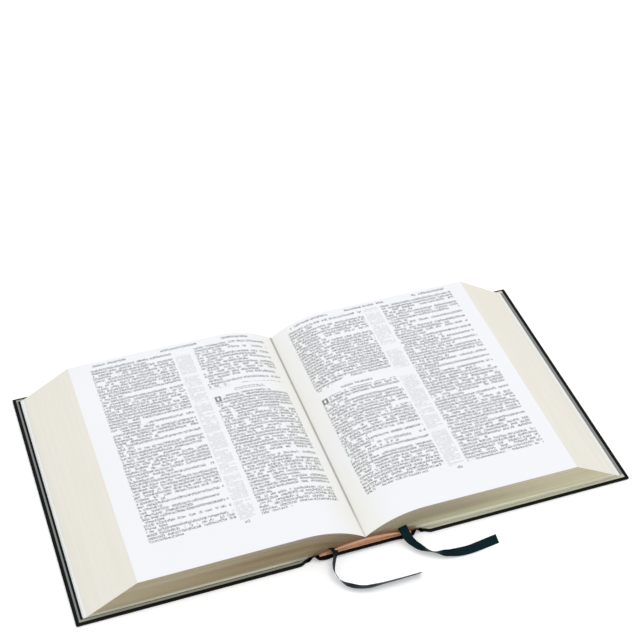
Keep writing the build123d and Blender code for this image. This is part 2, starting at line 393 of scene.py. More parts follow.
def leather_grain(shade, colour, worn_colour, scale):
    """Pebbled grain: rounded cells parted by creases, broken up by a finer noise."""
    point = shade.object_point()
    inputs = {"Vector": point, "Scale": scale * 0.4, "Detail": 2.0}
    warp = shade.node("ShaderNodeTexNoise", inputs).outputs["Color"]
    moved = shade.node("ShaderNodeVectorMath", {0: warp, 3: 0.9 / scale}, operation="SCALE")
    spot = shade.node("ShaderNodeVectorMath", {0: point, 1: moved.outputs[0]}, operation="ADD")
    crease = shade.ramp(shade.cells(spot.outputs[0], scale, "DISTANCE_TO_EDGE"), 0.0, 0.32)
    fine = shade.noise(point, scale * 5.0, 3.0)
    wear = shade.ramp(shade.noise(point, 22.0, 4.0, 0.6), 0.52, 0.78, 0.0, 0.55)
    tone = shade.mix(crease, tuple(0.45 * c for c in colour), colour)
    shade.feed("Roughness", shade.ramp(shade.noise(point, 60.0, 3.0), 0.3, 0.7, 0.32, 0.48))
    shade.bump(shade.math("MULTIPLY_ADD", fine, 0.25, crease), 0.6, 0.5 * MM)
    return shade.mix(wear, tone, worn_colour)


def plain_leather():
    colour = (0.003, 0.003, 0.004)
    shade = Shade("plain_leather", colour, 0.42, 0.08)
    shade.feed("Base Color", leather_grain(shade, colour, (0.008, 0.009, 0.011), 520.0))
    return shade.material


def tooled_leather():
    """The outside of the spine, with one plain row of gilt lozenges in its second panel."""
    colour = (0.011, 0.011, 0.013)
    shade = Shade("tooled_leather", colour, 0.42, 0.32)
    base = leather_grain(shade, colour, (0.020, 0.025, 0.038), 520.0)
    across, up = shade.uv()
    panel = 2 * BOOK_HALF / 5
    rise = shade.math("ABSOLUTE", shade.math("SUBTRACT", up, panel))
    step = 14 * MM
    offset = shade.math("PINGPONG", across, step / 2)
    near = shade.math("SUBTRACT", step / 2, offset)
    lozenge = shade.math("MULTIPLY_ADD", rise, 1 / (7 * MM), shade.math("DIVIDE", offset, 5 * MM))
    pearl = shade.math("ADD", shade.math("DIVIDE", rise, 1.3 * MM), shade.math("DIVIDE", near, 1.3 * MM))
    shapes = shade.largest(
        shade.within(lozenge, 0.72, 1.0),
        shade.math("LESS_THAN", lozenge, 0.34),
        shade.math("LESS_THAN", pearl, 1.0),
    )
    row = shade.math("LESS_THAN", shade.math("ABSOLUTE", across), 45 * MM)
    worn = shade.ramp(shade.noise(shade.object_point(), 900.0, 2.0), 0.32, 0.48)
    gilt = shade.product(shapes, row, worn)
    shade.paint(gilt, base, (0.66, 0.46, 0.19))
    shade.feed("Metallic", gilt)
    return shade.material


def cover_leathercloth(name, colour, mottle, shaded_paper_strips=None):
    """Covering with a fine pressed grain. Where they are given, pale strips in the colour of
    endpaper in shade are painted along the fore edge and along head and tail: painted shade."""
    shade = Shade(name, colour, 0.5, 0.07)
    point = shade.object_point()
    cell = shade.cells(point, 1500.0)
    weave = shade.noise(point, 2400.0, 2.0)
    mottled = shade.ramp(shade.noise(point, 30.0, 4.0), 0.3, 0.7)
    base = shade.mix(mottled, colour, mottle)
    if shaded_paper_strips:
        reach, half = shade.uv()
        from_side = shade.math("SUBTRACT", COVER_REACH, reach)
        from_end = shade.math("SUBTRACT", BOOK_HALF, shade.math("ABSOLUTE", half))
        scuffed = shade.ramp(shade.noise(point, 500.0, 2.0), 0.25, 0.45, 0.8, 1.0)
        # Painted shade: each strip is laid on in the colour of endpaper in shade.
        (side_from, side_to, side_paint), (end_from, end_to, end_paint) = shaded_paper_strips
        side_line = shade.product(
            shade.ramp(from_side, (side_from - 0.2) * MM, (side_from + 0.2) * MM),
            shade.ramp(from_side, (side_to + 0.2) * MM, (side_to - 0.2) * MM),
            shade.math("GREATER_THAN", from_end, end_from * MM),
        )
        end_line = shade.product(
            shade.ramp(from_end, (end_from - 0.3) * MM, (end_from + 0.3) * MM),
            shade.ramp(from_end, (end_to + 0.2) * MM, (end_to - 0.2) * MM),
            shade.math("GREATER_THAN", from_side, side_from * MM),
        )
        base = shade.mix(shade.product(side_line, scuffed), base, side_paint)
        base = shade.mix(shade.product(end_line, scuffed), base, end_paint)
    shade.feed("Base Color", base)
    shade.feed("Roughness", shade.ramp(shade.noise(point, 110.0, 3.0), 0.3, 0.7, 0.42, 0.6))
    shade.bump(shade.math("MULTIPLY_ADD", weave, 0.5, cell), 0.3, 0.25 * MM)
    return shade.material


def woven(name, colour, dark, thread, roughness=0.75):
    """Plain weave, from two crossed sets of threads that lie one thread apart."""
    shade = Shade(name, colour, roughness)
    across, up = shade.uv()
    warp = shade.math("SINE", shade.product(across, pi / thread))
    weft = shade.math("SINE", shade.product(up, pi / thread))
    over = shade.product(warp, weft)
    fuzz = shade.noise(shade.place(across, up), 500.0, 3.0)
    tone = shade.ramp(shade.math("ADD", over, fuzz), -0.2, 1.4)
    shade.paint(tone, dark, colour)
    shade.bump(over, 0.4, 0.3 * MM)
    return shade.material


def satin_ribbon():
    """Dark teal satin with fine ribs across the ribbon and a firmer woven edge."""
    colour = (0.002, 0.011, 0.015)
    shade = Shade("satin_ribbon", colour, 0.5, 0.05)
    along, across = shade.uv()
    ribs = shade.math("SINE", shade.product(along, 2 * pi / (0.7 * MM)))
    edge = shade.ramp(shade.math("ABSOLUTE", shade.math("SUBTRACT", across, 0.5)), 0.42, 0.5)
    soft = shade.ramp(shade.noise(shade.place(along, across), 60.0, 3.0), 0.3, 0.7, 0.0, 0.7)
    base = shade.mix(soft, colour, (0.003, 0.022, 0.028))
    shade.paint(shade.product(edge, 0.5), base, (0.004, 0.028, 0.035))
    shade.bump(ribs, 0.25, 0.15 * MM)
    shade.set("Anisotropic", 0.4)
    return shade.material


def grey_card():
    shade = Shade("grey_card", (0.30, 0.27, 0.23), 0.9)
    point = shade.object_point()
    fleck = shade.ramp(shade.noise(point, 900.0, 4.0), 0.35, 0.7)
    shade.paint(fleck, (0.24, 0.21, 0.18), (0.38, 0.35, 0.30))
    shade.bump(fleck, 0.3, 0.3 * MM)
    return shade.material


def lining_paper():
    """Peach paper and glue on the back of the leaves, deeper in cloudy blots."""
    shade = Shade("lining_paper", (0.70, 0.40, 0.26), 0.8)
    point = shade.object_point()
    blot = shade.ramp(shade.noise(point, 90.0, 4.0), 0.3, 0.7)
    shade.paint(blot, (0.74, 0.44, 0.29), (0.66, 0.33, 0.18))
    shade.bump(shade.noise(point, 700.0, 3.0), 0.3, 0.3 * MM)
    return shade.material


PRINTED = printed_page()
LEAF = paper_stock("leaf_paper", (0.86, 0.87, 0.90))
ENDPAPER = paper_stock("endpaper", (0.82, 0.83, 0.81))
ENDPAPER_EDGE = paper_stock("endpaper_edge", (0.80, 0.75, 0.60))
FRONT_TONES = (
    (0.00, (0.66, 0.63, 0.48)),
    (0.06, (0.72, 0.67, 0.50)),
    (0.13, (0.30, 0.26, 0.17)),
    (0.24, (0.26, 0.21, 0.12)),
    (0.40, (0.27, 0.20, 0.11)),
    (0.56, (0.20, 0.145, 0.075)),
    (0.74, (0.26, 0.20, 0.12)),
    (0.92, (0.25, 0.20, 0.13)),
)
BACK_TONES = (
    (0.00, (0.62, 0.62, 0.48)),
    (0.09, (0.78, 0.77, 0.60)),
    (0.24, (0.46, 0.44, 0.30)),
    (0.55, (0.30, 0.265, 0.165)),
    (0.90, (0.33, 0.285, 0.195)),
)
CUT_ENDS = {
    "front": cut_ends("cut_ends_front", FRONT_TONES, (0.40, 0.35, 0.23), 0.45),
    "back": cut_ends("cut_ends_back", BACK_TONES, (0.60, 0.55, 0.38), 0.15),
}
FORE_EDGE = fore_edge_paper()
TOOLED = tooled_leather()
LEATHER = plain_leather()
COVER_OUTSIDE = cover_leathercloth("cover_outside", (0.0115, 0.0085, 0.0068), (0.016, 0.012, 0.0098))
# Painted shade: the board's edges and the turned-in strip take a darker copy of the covering's colour
# than its outside has.
SHADED_COVERING, SHADED_COVERING_MOTTLE = (0.0035, 0.0038, 0.0030), (0.006, 0.0062, 0.0052)
SHADED_COVER_EDGE = cover_leathercloth("shaded_cover_edge", SHADED_COVERING, SHADED_COVERING_MOTTLE)
# Painted shade: pale strips in the colour of endpaper in shade. From, to and paint of each strip,
# in mm from the board's edge: along the fore edge, then along head and tail.
SHADED_PAPER_STRIPS = {
    "front": ((4.2, 6.4, (0.215, 0.235, 0.23)), (3.0, 6.1, (0.32, 0.32, 0.25))),
    "back": ((5.0, 12.0, (0.25, 0.255, 0.245)), (3.0, 7.4, (0.56, 0.55, 0.42))),
}
TURNED_IN = {
    name: cover_leathercloth(f"{name}_turned_in", SHADED_COVERING, SHADED_COVERING_MOTTLE, shaded_paper_strips)
    for name, shaded_paper_strips in SHADED_PAPER_STRIPS.items()
}
CARD = grey_card()
PEACH = lining_paper()
MULL = woven("mull_cloth", (0.72, 0.64, 0.50), (0.35, 0.28, 0.20), 0.8 * MM)
TAPE = woven("linen_tape", (0.66, 0.60, 0.48), (0.42, 0.36, 0.27), 0.45 * MM)
SILK = woven("end_band_silk", (0.80, 0.52, 0.34), (0.50, 0.22, 0.12), 0.75 * MM, 0.55)
RIBBON = satin_ribbon()


# ---- mesh helpers ----
def put_in_scene(name, data):
    made = bpy.data.objects.new(name, data)
    bpy.context.scene.collection.objects.link(made)
    return made


def finish_mesh(name, points, faces, charts, materials, picks, sharp):
    """One closed, smooth mesh with a chart coordinate at every corner of every face."""
    mesh = bpy.data.meshes.new(name)
    mesh.from_pydata([tuple(p) for p in points], [], faces)
    layer = mesh.uv_layers.new(name="UVMap")
    layer.data.foreach_set("uv", [value for chart in charts for spot in chart for value in spot])
    for material in materials:
        mesh.materials.append(material)
    mesh.polygons.foreach_set("material_index", picks)
    mesh.shade_smooth()
    mesh.set_sharp_from_angle(angle=radians(sharp))
    return put_in_scene(name, mesh)


def block(name, sizes, place, chart, materials, pick=lambda face: 0, sharp=32):
    """A six-faced block on a grid: place(i, j, k) gives a point, chart(face, i, j, k) its chart
    coordinate and pick(face) its material. Faces are named by axis and end, such as "k1"."""
    last = [size - 1 for size in sizes]
    numbers, points = {}, []

    def number(spot):
        if spot not in numbers:
            numbers[spot] = len(points)
            points.append(place(*spot))
        return numbers[spot]

    faces, charts, picks = [], [], []
    for axis, letter in enumerate("ijk"):
        first, second = [a for a in range(3) if a != axis]
        for end in (0, 1):
            face = f"{letter}{end}"
            for a in range(last[first]):
                for b in range(last[second]):
                    corners = []
                    for da, db in ((0, 0), (1, 0), (1, 1), (0, 1)):
                        spot = [0, 0, 0]
                        spot[axis] = last[axis] * end
                        spot[first] = a + da
                        spot[second] = b + db
                        corners.append(tuple(spot))
                    if (end == 1) == (axis == 1):
                        corners.reverse()
                    faces.append([number(c) for c in corners])
                    charts.append([chart(face, *c) for c in corners])
                    picks.append(pick(face))
    corner, on_i, on_j, on_k = (points[numbers[s]] for s in ((0, 0, 0), (1, 0, 0), (0, 1, 0), (0, 0, 1)))
    if (on_i - corner).cross(on_j - corner).dot(on_k - corner) < 0:
        faces = [face[::-1] for face in faces]
        charts = [chart[::-1] for chart in charts]
    return finish_mesh(name, points, faces, charts, materials, picks, sharp)


def sheet(name, reaches, rows, place, material):
    """A block one cell thick in one material, charted by its own reaches and rows."""
    return block(
        name,
        (len(reaches), len(rows), 2),
        place,
        lambda face, i, j, k: (reaches[i], rows[j]),
        [material],
    )


def steps(start, end, count):
    return [start + (end - start) * n / (count - 1) for n in range(count)]


def smooth(value):
    clipped = min(max(value, 0.0), 1.0)
    return clipped * clipped * (3 - 2 * clipped)


# ---- the shape of the leaves ----
def bend_radius(level):
    return BLOCK_BOTTOM + level * PITCH - BEND_CENTRE


def arch_height(reach):
    """Height of the lining's arched top above the table."""
    if abs(reach) >= SPINE_HALF:
        return LINING_BOTTOM
    return LINING_CROWN - LINING_RADIUS + sqrt(LINING_RADIUS**2 - reach**2)


def leaf_start(level):
    """Reach at which a leaf of this level meets the arched lining, or the fold."""
    radius = bend_radius(level)
    low, high = FOLD_GAP, FLAT_START
    for _ in range(40):
        middle = (low + high) / 2
        height = BEND_CENTRE + sqrt(radius**2 - (FLAT_START - middle) ** 2)
        if height > max(arch_height(middle), BLOCK_BOTTOM):
            high = middle
        else:
            low = middle
    return low


def start_run(level):
    return -bend_radius(level) * asin((FLAT_START - leaf_start(level)) / bend_radius(level))


def fore_edge_reach(level):
    return LOWEST_REACH - level * LEAF_STEP


def settle(level, reach, y):
    """How much the leaves lie above or below their flat place, as a stack of paper settles."""
    share = level / SECTION_COUNT
    outward = max(reach - FLAT_START, 0.0) / (LOWEST_REACH - FLAT_START)
    droop = -1.0 * MM * smooth(outward * 1.15)
    head = 0.8 * MM * smooth((y + PAGE_HALF) / (2 * PAGE_HALF))
    return share * (droop + head * smooth(outward * 3))


def leaf_point(side, level, run, y):
    radius = bend_radius(level)
    if run >= 0:
        reach, height = FLAT_START + run, BEND_CENTRE + radius
    else:
        reach = FLAT_START - radius * sin(-run / radius)
        height = BEND_CENTRE + radius * cos(run / radius)
    if abs(y) > PAGE_HALF - MM:
        y += 0.3 * MM * noise.noise(Vector((level * 7.3, reach * 4, y * side)))
    return Vector((side * reach, y, height + settle(level, reach, y)))


TOP_LENGTH = -start_run(SECTION_COUNT)
GUTTER_STEPS = 22
FLAT_STEPS = 26
PAGE_ROWS = steps(-PAGE_HALF, PAGE_HALF, 33)
LEAF_SHARES = steps(0, 1, 13)


def leaf_levels(number):
    """Levels of a section's leaves. The top section stays a little short of the fold's plane,
    so that the two halves only just meet when the book is shut."""
    trim = TOP_TRIM if number == SECTION_COUNT - 1 else LEAF_SKIN
    return [number + share * (1 - trim / PITCH) for share in LEAF_SHARES]


def bend_with_leaves(made, name, side, number):
    """Bakes the object's placing into its mesh. The point where the section meets the spine goes unused.
    """
    start = leaf_point(side, number - 0.5, start_run(number - 0.5), 0)
    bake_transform(made)


def make_section(name, side, number):
    """All leaves of one section, from the spine to a square end short of the fore edge."""
    levels = leaf_levels(number)
    square_run = fore_edge_reach(number + 1) - FLAT_START

    def run_at(i, k):
        if i < GUTTER_STEPS:
            return start_run(levels[k]) * (1 - i / GUTTER_STEPS)
        return square_run * (i - GUTTER_STEPS) / FLAT_STEPS

    def place(i, j, k):
        return leaf_point(side, levels[k], run_at(i, k), PAGE_ROWS[j])

    def chart(face, i, j, k):
        if face[0] == "k":
            return side * (run_at(i, k) + TOP_LENGTH), PAGE_ROWS[j]
        if face[0] == "j":
            return run_at(i, k) - start_run(levels[k]), levels[k] * PITCH
        return PAGE_ROWS[j], levels[k] * PITCH

    top = PRINTED if number == SECTION_COUNT - 1 else LEAF
    made = block(
        f"{name}_leaves_{number + 1}",
        (GUTTER_STEPS + FLAT_STEPS + 1, len(PAGE_ROWS), len(levels)),
        place,
        chart,
        [LEAF, top, CUT_ENDS[name]],
        lambda face: {"k0": 0, "k1": 1, "i0": 0, "i1": 0}.get(face, 2),
    )
    bend_with_leaves(made, name, side, number + 1)
    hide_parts(f"{name}_section_{number + 1}", f"{name}_gutter_{number + 1}")


def make_fore_edge(name, side, number):
    """The stepped ends of a section's leaves, which draw level as the book shuts."""
    levels = leaf_levels(number)
    square_reach = fore_edge_reach(number + 1)
    rows = steps(-PAGE_HALF, PAGE_HALF, 61)
    columns = steps(0, 1, 5)

    def reach_at(i, j, k):
        full = fore_edge_reach(levels[k]) - square_reach
        ragged = 0.35 * MM * noise.noise(Vector((levels[k] * 9.7 + side, rows[j] * 14, 2.0)))
        return square_reach + columns[i] * max(full + ragged, 0.05 * MM)

    def place(i, j, k):
        return leaf_point(side, levels[k], reach_at(i, j, k) - FLAT_START, rows[j])

    def chart(face, i, j, k):
        if face[0] == "i":
            return rows[j], levels[k] * PITCH
        if face[0] == "j":
            return reach_at(i, j, k) - FLAT_START - start_run(levels[k]), levels[k] * PITCH
        return side * (reach_at(i, j, k) - FLAT_START + TOP_LENGTH), rows[j]

    made = block(
        f"{name}_fore_edge_{number + 1}",
        (len(columns), len(rows), len(levels)),
        place,
        chart,
        [LEAF, CUT_ENDS[name], FORE_EDGE],
        lambda face: {"j0": 1, "j1": 1, "i1": 2}.get(face, 0),
    )
    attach(made, f"{name}_section_{number + 1}")
    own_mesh(made)


def make_flyleaves(name, side):
    """Loose endpapers under the leaves. They rise over the joint and lie slack on the board."""
    first_reach = BOARD_START - 1.5 * MM
    thickness, spacing, rise_run = 0.16 * MM, 0.48 * MM, 22 * MM
    over_joint = 5.12 * MM
    for number in range(FLYLEAF_COUNT):
        outer = flyleaves_box[1].x - number * 0.7 * MM
        reaches = steps(first_reach, FLAT_START, 6)[:-1] + steps(FLAT_START, outer, 44)

        def place(i, j, k):
            reach, y = reaches[i], PAGE_ROWS[j]
            flat = flyleaves_box[0].z + 0.08 * MM + number * spacing
            slack = 0.14 * MM * noise.noise(Vector((reach * 16, y * 9, side * 3.0 + number)))
            rise = 1 - smooth((reach - first_reach) / rise_run)
            height = flat + slack * (1 - rise) + rise * (over_joint + 0.06 * MM * number - flat)
            return Vector((side * reach, y, height + k * thickness * (1 - 0.7 * rise)))

        made = block(
            f"{name}_flyleaf_{number + 1}",
            (len(reaches), len(PAGE_ROWS), 2),
            place,
            lambda face, i, j, k: (reaches[i], PAGE_ROWS[j]),
            [ENDPAPER, ENDPAPER_EDGE],
            lambda face: 1 if face[0] == "j" else 0,
        )
        bend_with_leaves(made, name, side, 1)
        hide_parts(f"{name}_flyleaves")


# ---- the covers ----
def edge_steps(low, high, middle_count):
    """Places between two edges, close together over the rounding and the turned-in strip."""
    near = [0, 0.25, 0.5, 0.8, 1.1, 1.5, 2.0, 3.0, 4.0, 5.0, 6.0, 7.0, 8.0, 8.6, 9.0, 9.6]
    near = [value * MM for value in near]
    inner = steps(low + near[-1], high - near[-1], middle_count)[1:-1]
    return [low + value for value in near] + inner + [high - value for value in reversed(near)]


def trimmed(y, share):
    """Draws a point near the head or tail in by a share of the trim."""
    eased_from, eased_over = BOOK_HALF - 16 * MM, 12 * MM
    near_end = smooth((abs(y) - eased_from) / eased_over)
    return y - copysign(CORNER_TRIM * share * near_end, y)


def board_trim(reach):
    """A board's two corners beside the spine are cut back at a slant."""
    return smooth((BOARD_START + TRIM_RUN - reach) / TRIM_RUN)


def make_board_core(name, side):
    """The greyboard inside the covering."""
    reaches = steps(board_box[0].x, board_box[0].x + TRIM_RUN, 10)[:-1]
    reaches += steps(board_box[0].x + TRIM_RUN, board_box[1].x, 24)
    rows = steps(board_box[0].y, board_box[1].y, 90)

    def place(i, j, k):
        y = trimmed(rows[j], board_trim(reaches[i]))
        return Vector((side * reaches[i], y, board_box[k].z))

    made = sheet(f"{name}_board_core", reaches, rows, place, CARD)
    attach(made, f"{name}_cover")
    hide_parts(f"{name}_board")


def make_cover(name, side):
    """A wrapped board: rounded edges, a turned-in strip and mitred folds at its corners."""
    radius, sink, crease = 1.3 * MM, 0.28 * MM, 0.12 * MM
    reaches = edge_steps(BOARD_START, COVER_REACH, 24)
    rows = edge_steps(-BOOK_HALF, BOOK_HALF, 34)
    levels = steps(0, COVER_TOP, 9)

    def rounded(value, low, high):
        return min(max(value, low + radius), high - radius)

    def place(i, j, k):
        spot = Vector((reaches[i], rows[j], levels[k]))
        core = Vector((
            rounded(spot.x, BOARD_START, COVER_REACH),
            rounded(spot.y, -BOOK_HALF, BOOK_HALF),
            rounded(spot.z, 0, COVER_TOP),
        ))
        spot = core + (spot - core).normalized() * radius
        if k == len(levels) - 1:
            from_side, from_end = COVER_REACH - reaches[i], BOOK_HALF - abs(rows[j])
            sunk = smooth((min(from_side, from_end) - TURN_IN + 0.6 * MM) / (0.6 * MM))
            fold = exp(-(((from_side - from_end) / (0.5 * MM)) ** 2)) if from_end < TURN_IN else 0.0
            spot.z -= sink * sunk + crease * fold
        return Vector((side * spot.x, trimmed(spot.y, board_trim(reaches[i])), spot.z))

    made = block(
        f"{name}_cover_case",
        (len(reaches), len(rows), len(levels)),
        place,
        lambda face, i, j, k: (reaches[i], rows[j]),
        [SHADED_COVER_EDGE, COVER_OUTSIDE, TURNED_IN[name]],
        lambda face: {"k0": 1, "k1": 2}.get(face, 0),
        sharp=60,
    )
    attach(made, f"{name}_cover")
    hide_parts(f"{name}_cover_cloth")


def make_pastedown(name, side):
    """The endpaper glued inside the cover, flush with the turned-in strip."""
    start, end = pastedown_box[0].x, pastedown_box[1].x - 0.2 * MM
    half = pastedown_box[1].y - 0.2 * MM
    reaches, rows = steps(start, end, 50), steps(-half, half, 60)
    bottom, top = COVER_TOP - 0.7 * MM, COVER_TOP - 0.03 * MM

    def place(i, j, k):
        ripple = 0.03 * MM * noise.noise(Vector((reaches[i] * 30, rows[j] * 30, side)))
        return Vector((side * reaches[i], rows[j], (bottom, top)[k] + ripple))

    made = sheet(f"{name}_endpaper", reaches, rows, place, ENDPAPER)
    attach(made, f"{name}_cover")
    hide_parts(f"{name}_pastedown")


# ---- the spine ----
def bend_with_cover(made, name, side, height):
    """Bakes the object's placing into its mesh, for the spine and all that backs it."""
    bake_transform(made)


def make_spine_leather(name, side):
    """Half the leather: panels between raised bands, turned-in ends and the joint."""
    bottom, thick = leather_box[0].z, stiffener_box[0].z - leather_box[0].z
    reaches = steps(0, SPINE_HALF, 26)[:-1] + steps(SPINE_HALF, BOARD_START + 0.8 * MM, 19)
    rows = steps(-BOOK_HALF, BOOK_HALF, 241)
    bands = [BOOK_HALF * (2 * n / 5 - 1) for n in range(1, 5)]
    band_half, cap_depth, cap_thickness = 5.5 * MM, 6 * MM, 1.3 * MM
    ridge_reach, ridge_width = SPINE_HALF + 5.5 * MM, 3.6 * MM
    ridge_rise, knuckle_rise = 2.4 * MM, 3.4 * MM
    bow_reach, bow_width, bow_depth = SPINE_HALF - 10 * MM, 8 * MM, 2.2 * MM

    def place(i, j, k):
        """The joint is pinched up into a ridge, higher still where the ends are turned in. Beside
        it the turned-in ends of the spine sag to the table."""
        reach, y = reaches[i], rows[j]
        beyond = reach - SPINE_HALF + MM
        level = smooth(beyond / (12 * MM))
        from_end = BOOK_HALF - abs(y)
        y = trimmed(y, smooth(beyond / (6 * MM)))
        turned = smooth((cap_depth - BOOK_HALF + abs(y)) / (2 * MM))
        pinch = exp(-(((reach - ridge_reach) / ridge_width) ** 2))
        bow = exp(-(((reach - bow_reach) / bow_width) ** 2))
        height = bottom * (1 - level) + pinch * (ridge_rise + knuckle_rise * turned)
        height -= bow_depth * turned * bow
        if k == 0:
            taper = smooth((SPINE_HALF - MM - reach) / (6 * MM))
            ridge = max(exp(-(((y - band) / band_half) ** 4)) for band in bands)
            eased = 0.8 * MM * (1 - smooth(from_end / (2 * MM)))
            height += eased - ridge * taper * (bottom - 0.05 * MM)
        else:
            eased = 0.7 * MM * (1 - smooth(from_end / (1.6 * MM)))
            height += thick - eased + turned * cap_thickness * (1 - level)
        return Vector((side * reach, y, height))

    made = block(
        f"{name}_spine_leather",
        (len(reaches), len(rows), 2),
        place,
        lambda face, i, j, k: (side * reaches[i], rows[j]),
        [LEATHER, TOOLED],
        lambda face: 1 if face == "k0" else 0,
        sharp=50,
    )
    bend_with_cover(made, name, side, bottom)
    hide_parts("spine_leather", "raised_bands", f"{name}_joint_leather")


def make_backing(name, side, label, node, look, rows, low, high, half_width, flap=None):
    """Half of a layer on the back of the text block, between two heights given by reach. A flap,
    given by its two heights, is the part past the leaves."""
    material, slot = look
    reaches = steps(0, half_width, 30)

    def place(i, j, k):
        height = high(reaches[i]) if k else low(reaches[i])
        if flap:
            outside = smooth((abs(rows[j]) - PAGE_HALF + MM) / (0.8 * MM))
            height += outside * (flap[k] - height)
        return Vector((side * reaches[i], rows[j], height))

    made = sheet(f"{name}_{label}", reaches, rows, place, material)
    bend_with_cover(made, name, side, LINING_BOTTOM)
    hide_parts(node)


def make_backings(name, side):
    """Stiffener, lining, mull and sewing tapes, from the leather up to the folds. The lining's
    ends stand past the leaves as a low flap."""
    recess = 0.4 * MM
    rows = steps(-PAGE_HALF + recess, PAGE_HALF - recess, 60)
    flap_rows = steps(PAGE_HALF + 0.2 * MM, BOOK_HALF - 3.6 * MM, 5)
    make_backing(
        name, side, "stiffener", "spine_stiffener", (CARD, "greyboard"),
        steps(stiffener_box[0].y, stiffener_box[1].y, 40),
        lambda reach: stiffener_box[0].z,
        lambda reach: stiffener_box[1].z,
        stiffener_box[1].x,
    )
    make_backing(
        name, side, "lining", "spine_lining", (PEACH, "lining_paper"),
        [-row for row in reversed(flap_rows)] + rows + flap_rows,
        lambda reach: LINING_BOTTOM,
        lambda reach: max(arch_height(reach) - 2 * BACKING_LAYER, LINING_BOTTOM + 0.1 * MM),
        SPINE_HALF - 2 * MM,
        flap=(5.55 * MM, 6.1 * MM),
    )
    make_backing(
        name, side, "mull", "mull", (MULL, "backing_cloth"), rows,
        lambda reach: arch_height(reach) - BACKING_LAYER,
        arch_height,
        SPINE_HALF - 2 * MM,
    )
    tape_half = (tape_box[1].y - tape_box[0].y) / 25
    tape_spacing = tape_box[1].y - tape_half
    for number in (-1, 0, 1):
        middle = number * tape_spacing
        make_backing(
            name, side, f"tape_{number + 2}", "sewing_tapes", (TAPE, "backing_cloth"),
            steps(middle - tape_half, middle + tape_half, 8),
            lambda reach: arch_height(reach) - 2 * BACKING_LAYER,
            lambda reach: arch_height(reach) - BACKING_LAYER,
            tape_box[1].x - 3 * MM,
        )


def make_end_band(name, side, node, end):
    """Half of a sewn end band: a round core that follows the arch, wrapped in silk."""
    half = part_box(node)[1].x
    radius, stitch = 1.45 * MM, 1.5 * MM
    middle_y = end * (PAGE_HALF + radius + 0.05 * MM)
    reaches = steps(0, half, 100)
    around = 14
    points, faces, charts = [], [], []
    for reach in reaches:
        wrap = radius * (1 - 0.08 * abs(sin(pi * reach / stitch)))
        centre = Vector((side * reach, middle_y, arch_height(reach) - radius * 0.8))
        for m in range(around):
            angle = -side * 2 * pi * m / around
            points.append(centre + Vector((0, wrap * cos(angle), wrap * sin(angle))))
    for n in range(len(reaches) - 1):
        for m in range(around):
            after = (m + 1) % around
            here, there = n * around, (n + 1) * around
            faces.append([here + m, there + m, there + after, here + after])
            charts.append([
                (reaches[n], m * MM), (reaches[n + 1], m * MM),
                (reaches[n + 1], (m + 1) * MM), (reaches[n], (m + 1) * MM),
            ])
    last = (len(reaches) - 1) * around
    faces += [list(range(around)), [last + m for m in reversed(range(around))]]
    charts += [[(0, m * MM) for m in range(around)], [(half, m * MM) for m in range(around)]]
    made = finish_mesh(f"{name}_{node}", points, faces, charts, [SILK], [0] * len(faces), 50)
    bend_with_cover(made, name, side, LINING_BOTTOM)
    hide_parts(node)


# ---- ribbon markers ----
def route_line(name, route):
    """Points along the smooth line that a route's control points give."""
    curve = bpy.data.curves.new(name, "CURVE")
    curve.dimensions = "3D"
    curve.resolution_u = 12
    spline = curve.splines.new("NURBS")
    spline.points.add(len(route) - 1)
    for point, spot in zip(spline.points, route):
        point.co = (*(value * MM for value in spot), 1.0)
    spline.order_u = 3
    spline.use_endpoint_u = True
    holder = put_in_scene(name, curve)
    mesh = bpy.data.meshes.new_from_object(holder)
    points = [vertex.co.copy() for vertex in mesh.vertices]
    bpy.data.objects.remove(holder)
    return points


def make_ribbon(name, node, route, leans):
    """A satin strip along a route. leans says which way its width points, by share of length."""
    line = route_line(name, route)
    thickness, hollow, breadth = 0.3 * MM, 0.25 * MM, 7
    travelled = [0.0]
    for before, after in zip(line, line[1:]):
        travelled.append(travelled[-1] + (after - before).length)
    length = travelled[-1]

    def lean_at(share):
        for (start, first), (end, second) in zip(leans, leans[1:]):
            if share <= end:
                return Vector(first).lerp(Vector(second), smooth((share - start) / (end - start)))
        return Vector(leans[-1][1])

    frames = []
    for n, spot in enumerate(line):
        ahead = (line[min(n + 1, len(line) - 1)] - line[max(n - 1, 0)]).normalized()
        lean = lean_at(travelled[n] / length)
        lean = (lean - ahead * lean.dot(ahead)).normalized()
        frames.append((spot, lean, ahead.cross(lean).normalized()))

    def place(i, j, k):
        spot, lean, face = frames[i]
        across = 2 * j / (breadth - 1) - 1
        crown = hollow * (1 - across**2)
        return spot + lean * across * RIBBON_WIDTH / 2 + face * (crown + (k - 0.5) * thickness)

    made = block(
        name,
        (len(line), breadth, 2),
        place,
        lambda face, i, j, k: (travelled[i], j / (breadth - 1)),
        [RIBBON],
        sharp=60,
    )
    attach(made, "spine")
    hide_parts(node)
    tuple(line[0])
    [tuple(p) for p in line]


def make_ribbon_run(name, node, body, side, level, reach):
    """The stretch of ribbon that lies between two leaves, down the gutter."""
    radius = bend_radius(level)
    first = -radius * asin((FLAT_START - reach) / radius)
    rows = steps(-PAGE_HALF - 1.5 * MM, PAGE_HALF, 80)
    thickness = 0.03  # as a share of a section

    def place(i, j, k):
        spot = leaf_point(side, level + (k - 0.5) * thickness, first + RIBBON_WIDTH * i / 8, 0)
        return Vector((spot.x, rows[j], spot.z))

    made = block(
        name,
        (9, len(rows), 2),
        place,
        lambda face, i, j, k: (rows[j], i / 8),
        [RIBBON],
    )
    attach(made, body)
    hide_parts(node)


